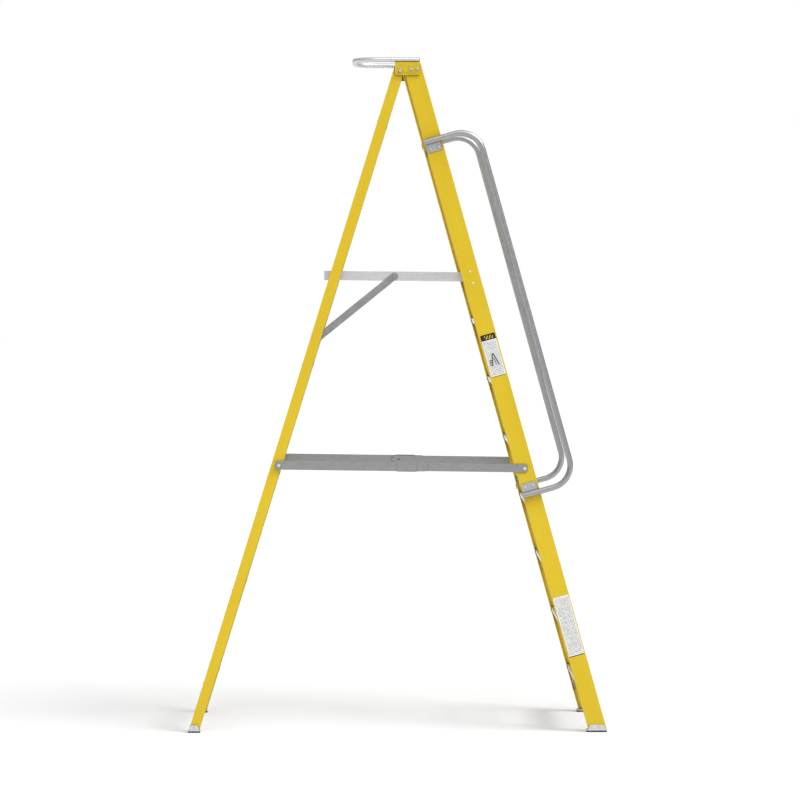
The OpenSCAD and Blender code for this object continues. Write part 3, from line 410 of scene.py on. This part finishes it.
for name, cad in nodes.items():
    rule = next((r for r in SOFT_EDGES if name.startswith(r[0])), None)
    if rule:
        soften(cad, *rule[1:])


# Fasteners --------------------------------------------------------------------------------------

# How near an end of a solid a point lies to count for the radius of that end
END_SLICE = 0.0012


def solids_of(name):
    """Each solid of a CAD node as (middle line, axis, start and end along it, radius at each end, middle)."""
    mesh = bmesh.new()
    mesh.from_mesh(nodes[name].data)
    bmesh.ops.remove_doubles(mesh, verts=mesh.verts, dist=1e-6)
    mesh.faces.ensure_lookup_table()
    left, groups = set(mesh.verts), []
    while left:
        seed = left.pop()
        group, queue = {seed}, [seed]
        while queue:
            for edge in queue.pop().link_edges:
                for vert in edge.verts:
                    if vert in left:
                        left.discard(vert)
                        group.add(vert)
                        queue.append(vert)
        groups.append(group)
    result = []
    for group in groups:
        areas = {}
        for face in {f for v in group for f in v.link_faces}:
            key = tuple(round(abs(c), 2) for c in face.normal)
            area, normal = areas.get(key, (0.0, face.normal.copy()))
            areas[key] = (area + face.calc_area(), normal)
        axis = max(areas.values(), key=lambda entry: entry[0])[1].normalized()
        points = np.array([v.co for v in group])
        along = points @ np.array(axis)
        mid = (points.max(0) + points.min(0)) / 2
        flat = points - np.outer(along, axis)
        centre = Vector((flat.max(0) + flat.min(0)) / 2)
        radii = np.linalg.norm(flat - np.array(centre), axis=1)
        near = radii[along < along.min() + END_SLICE].max()
        far = radii[along > along.max() - END_SLICE].max()
        ends = float(along.min()), float(along.max())
        result.append((centre, axis, *ends, float(near), float(far), Vector(mid)))
    mesh.free()
    return sorted(result, key=lambda r: tuple(round(c, 4) for c in r[6]))


def add(name, data):
    """Puts a new object with this data in the scene."""
    made = bpy.data.objects.new(name, data)
    bpy.context.scene.collection.objects.link(made)
    return made


def mesh_data(name, mesh, *materials):
    """The finished mesh as Blender data with its materials."""
    bmesh.ops.recalc_face_normals(mesh, faces=mesh.faces)
    data = bpy.data.meshes.new(name)
    mesh.to_mesh(data)
    mesh.free()
    for material in materials:
        data.materials.append(material)
    return data


# Hexagons: half the width across flats for a corner radius of 1, the chamfered disc for that, the chamfer
FLAT_SHARE = 0.866
DISC_SHARE = 0.93
CHAMFER = math.radians(28)


class Builder:
    """Collects turned and formed shapes into one mesh."""

    def __init__(self):
        self.mesh = bmesh.new()

    def rings(self, place, rings):
        """Joins rings of (x, y, z) points, all with the same number of points, and closes both ends."""
        made = [[self.mesh.verts.new(place @ Vector(p)) for p in ring] for ring in rings]
        count = len(made[0])
        for low, high in zip(made, made[1:]):
            for i in range(count):
                j = (i + 1) % count
                self.mesh.faces.new((low[i], low[j], high[j], high[i])).smooth = True
        self.mesh.faces.new(made[0][::-1])
        self.mesh.faces.new(made[-1])

    def turned(self, place, profile, count=32):
        """A lathe shape from (radius, height) pairs."""
        turns = [2 * math.pi * i / count for i in range(count)]
        self.rings(place, [[(r * math.cos(a), r * math.sin(a), z) for a in turns] for r, z in profile])

    def hexagon(self, place, radius, z0, z1, top_up, count=48):
        """A hexagonal head from z0 to z1 whose free face is chamfered on a cone; radius is to its corners."""
        turns = [2 * math.pi * i / count for i in range(count)]
        flat = radius * FLAT_SHARE
        disc = flat * DISC_SHARE

        def edge(a):
            return flat / math.cos((a + math.pi / 6) % (math.pi / 3) - math.pi / 6)

        lift = [(edge(a) - disc) * math.tan(CHAMFER) for a in turns]
        sign = 1 if top_up else -1
        base, top = (z0, z1) if top_up else (z1, z0)
        rings = [
            [(edge(a) * math.cos(a), edge(a) * math.sin(a), base) for a in turns],
            [(edge(a) * math.cos(a), edge(a) * math.sin(a), top - sign * h) for a, h in zip(turns, lift)],
            [(disc * math.cos(a), disc * math.sin(a), top) for a in turns],
        ]
        self.rings(place, rings if top_up else rings[::-1])

    def piece(self, node, body):
        """Finishes the mesh as a piece that rides on the body and stands for the CAD node."""
        made = add(node + "_formed", mesh_data(node + "_formed", self.mesh, looks["fastener"]))
        made.modifiers.new("weighted", "WEIGHTED_NORMAL").weight = 60
        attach(made, body)
        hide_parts(node)


def headed(name):
    """For each solid of a CAD node, from its thick end: (place, length, radius at that end, the other's)."""
    for centre, axis, low, high, near, far, _ in solids_of(name):
        if far > near:
            axis, centre, low, high = -axis, centre, -high, -low
            near, far = far, near
        turn = axis.to_track_quat("Z", "Y").to_matrix().to_4x4()
        yield Matrix.Translation(centre + axis * low) @ turn, high - low, near, far


def dome(radius, height, base, sign, steps=6):
    """A domed rivet head's profile, from its rim at the base to its middle."""
    turns = [math.pi / 2 * i / steps for i in range(steps + 1)]
    return [(max(radius * math.cos(a), 0.0002), base + sign * height * math.sin(a)) for a in turns]


# Rivets: (radius, height) of the head and of the closed tail, and the shank's radius
RIVET_HEAD = (0.0055, 0.0020)
RIVET_TAIL = (0.0044, 0.0019)
RIVET_TAIL_SEAT = 0.002
RIVET_SHANK = 0.003


def rivets(name, body):
    """Solid rivets with a domed head and a smaller closed tail."""
    build = Builder()
    head, rise = RIVET_HEAD
    tail, tail_rise = RIVET_TAIL
    for place, length, _, _ in headed(name):
        seat = length - RIVET_TAIL_SEAT
        profile = dome(head, rise, rise, -1)[::-1] + [(RIVET_SHANK, rise), (RIVET_SHANK, seat)]
        profile += [(tail, seat)] + dome(tail, tail_rise, length - tail_rise, 1)
        build.turned(place, profile, 24)
    build.piece(name, body)


rivets("front_rivets", "front_section")
rivets("rear_rivets", "rear_section")


# Bolts: thread beyond the nut, chamfers of the thread's end and of a washer's rim, and the head and
# chamfer of a bolt without a nut
THREAD = 0.003
THREAD_CHAMFER = 0.0008
RIM_CHAMFER = 0.0003
SMALL_HEAD = 0.003
SMALL_CHAMFER = 0.0006
# Each as (radius, height)
PLATE_BOLT = {"head": (0.0075, 0.005), "washer": (0.009, 0.0016), "nut": (0.0075, 0.005),
              "nut_washer": (0.009, 0.0016)}
PIVOT_BOLT = {"head": (0.0088, 0.0065), "washer": (0.0098, 0.0015), "nut": (0.0088, 0.007),
              "nut_washer": (0.0098, 0.0006)}


def bolts(name, head, washer, nut, nut_washer):
    """Hexagon bolts with washers and nuts; a bolt with a smaller head than the rest has no nut."""
    build = Builder()
    for place, length, near, far in headed(name):
        if near < head[0] - 0.001:
            build.hexagon(place, near, 0, SMALL_HEAD, False)
            end = length - SMALL_CHAMFER
            build.turned(place, [(far, SMALL_HEAD), (far, end), (far - SMALL_CHAMFER, length)], 24)
            continue
        under = head[1] + washer[1]
        nut_top = length - THREAD
        nut_seat = nut_top - nut[1]
        build.hexagon(place, head[0], 0, head[1], False)
        for r, low, high in ((washer[0], head[1], under),
                             (nut_washer[0], nut_seat - nut_washer[1], nut_seat)):
            build.turned(place, [(r - RIM_CHAMFER, low), (r, low + RIM_CHAMFER),
                                 (r, high - RIM_CHAMFER), (r - RIM_CHAMFER, high)])
        end = length - THREAD_CHAMFER
        build.turned(place, [(far, under), (far, end), (far - THREAD_CHAMFER, length)], 24)
        build.hexagon(place, nut[0], nut_seat, nut_top, True)
    build.piece(name, "front_section")


bolts("top_bolts", **PLATE_BOLT)
bolts("handrail_bolts", **PLATE_BOLT)
bolts("pivot_bolts", **PIVOT_BOLT)


# Labels -----------------------------------------------------------------------------------------

# The left front rail's face: half the width over the rails at the floor, the rear rails' pivot line, and
# how far the rail's middle line lies in front of that pivot
BASE_HALF = 0.349
PIVOT = next(Vector(j["pos_m"]) for j in frame["joints"] if j["name"] == "rear_fold")
PIVOT_UP_RAIL = PIVOT.z / math.cos(SIDE_LEAN)
RAIL_FORWARD = 0.065
FILM = 0.0005
FILM_CORNER = 0.004
# Each label: distance down the rail from the pivot, width and height
UPPER_LABEL = (1.507, 0.076, 0.219)
LOWER_LABEL = (2.929, 0.080, 0.312)


def label(mesh, uv, down, wide, tall, slot):
    """A thin film with rounded corners on the left front rail."""
    place = Matrix.Translation((0, -BASE_HALF, 0)) @ Matrix.Rotation(-SIDE_LEAN, 4, "X")
    place = place @ Matrix.Translation((PIVOT.x, 0, PIVOT_UP_RAIL)) @ Matrix.Rotation(-FRONT_SLOPE, 4, "Y")
    place = place @ Matrix.Translation((RAIL_FORWARD, 0, -down))
    outline = []
    for turn, x, z in ((0, 1, 1), (90, -1, 1), (180, -1, -1), (270, 1, -1)):
        for step in range(7):
            a = math.radians(turn + 15 * step)
            outline.append((x * (wide / 2 - FILM_CORNER) + FILM_CORNER * math.cos(a),
                            z * (tall / 2 - FILM_CORNER) + FILM_CORNER * math.sin(a)))
    back = [mesh.verts.new(place @ Vector((x, 0, z))) for x, z in outline]
    front = [mesh.verts.new(place @ Vector((x, -FILM, z))) for x, z in outline]
    faces = [mesh.faces.new(front), mesh.faces.new(back[::-1])]
    for i in range(len(outline)):
        j = (i + 1) % len(outline)
        faces.append(mesh.faces.new((back[i], back[j], front[j], front[i])))
    where = dict(zip(back + front, outline * 2))
    for face in faces:
        face.material_index = slot
        for loop in face.loops:
            x, z = where[loop.vert]
            loop[uv].uv = (0.5 + x / wide, 0.5 + z / tall)


def labels():
    mesh = bmesh.new()
    uv = mesh.loops.layers.uv.new("print")
    label(mesh, uv, *UPPER_LABEL, 0)
    label(mesh, uv, *LOWER_LABEL, 1)
    made = add("rail_label_films",
               mesh_data("rail_label_films", mesh, looks["upper_label"], looks["lower_label"]))
    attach(made, "front_section")
    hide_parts("rail_stickers")


labels()


# Floor, light and camera ------------------------------------------------------------------------

FLOOR_SIZE = 160.0
FLOOR_SHADE = 0.80
# Radiance of the studio seen by the pieces: at the horizon, and overhead
SIDE_GLOW, TOP_GLOW = 0.49, 0.96
# Soft boxes far away: strength, size in degrees, and the way their light travels
SOFT_BOXES = [(2.0, 28, (-0.62, 0.25, -0.74)), (0.70, 50, (-0.12, 0.62, -0.77))]
CAMERA_PLACE = (-0.1630, -14.5492, 2.3034)
CAMERA_PITCH = math.radians(2.512)
CAMERA_YAW = math.radians(0.704)
CAMERA_LENS = 127.32


def floor():
    data = bpy.data.meshes.new("floor")
    half = FLOOR_SIZE / 2
    corners = [(-half, -half, 0), (half, -half, 0), (half, half, 0), (-half, half, 0)]
    data.from_pydata(corners, [], [(0, 1, 2, 3)])
    look = Look("pale_floor", roughness=0.9, Specular_IOR_Level=0.0)
    grain = look.noise(look.coords(), 3, 3)
    shades = [(FLOOR_SHADE * k,) * 3 + (1,) for k in (0.99, 1.01)]
    look.set(look.shader, Base_Color=look.mix(grain, *shades))
    data.materials.append(look.material)
    add("floor", data)


def studio():
    """A white backdrop; the pieces are lit by a dome that is brighter overhead and by two soft boxes."""
    world = bpy.data.worlds.new("studio")
    world.use_nodes = True
    tree = world.node_tree
    backdrop = tree.nodes["Background"]
    backdrop.inputs["Color"].default_value = (1, 1, 1, 1)
    dome = tree.nodes.new("ShaderNodeBackground")
    split = tree.nodes.new("ShaderNodeSeparateXYZ")
    tree.links.new(tree.nodes.new("ShaderNodeTexCoord").outputs["Generated"], split.inputs[0])
    glow = tree.nodes.new("ShaderNodeMapRange")
    glow.interpolation_type = "SMOOTHSTEP"
    for name, value in (("From Min", 0.05), ("From Max", 0.85), ("To Min", SIDE_GLOW), ("To Max", TOP_GLOW)):
        glow.inputs[name].default_value = value
    tree.links.new(split.outputs["Z"], glow.inputs["Value"])
    tree.links.new(glow.outputs["Result"], dome.inputs["Strength"])
    choose = tree.nodes.new("ShaderNodeMixShader")
    tree.links.new(tree.nodes.new("ShaderNodeLightPath").outputs["Is Camera Ray"], choose.inputs["Fac"])
    tree.links.new(dome.outputs["Background"], choose.inputs[1])
    tree.links.new(backdrop.outputs["Background"], choose.inputs[2])
    tree.links.new(choose.outputs["Shader"], tree.nodes["World Output"].inputs["Surface"])
    bpy.context.scene.world = world
    for strength, size, travel in SOFT_BOXES:
        data = bpy.data.lights.new("soft_box", "SUN")
        data.energy = strength
        data.angle = math.radians(size)
        add("soft_box", data).rotation_euler = Vector(travel).to_track_quat("-Z", "Y").to_euler()


def camera():
    data = bpy.data.cameras.new("camera")
    data.lens = CAMERA_LENS
    data.sensor_width = 36
    data.clip_end = 200
    made = add("camera", data)
    made.location = CAMERA_PLACE
    made.rotation_euler = (math.pi / 2 - CAMERA_PITCH, 0, -CAMERA_YAW)
    bpy.context.scene.camera = made


floor()
studio()
camera()
bpy.context.scene.view_settings.view_transform = "Standard"
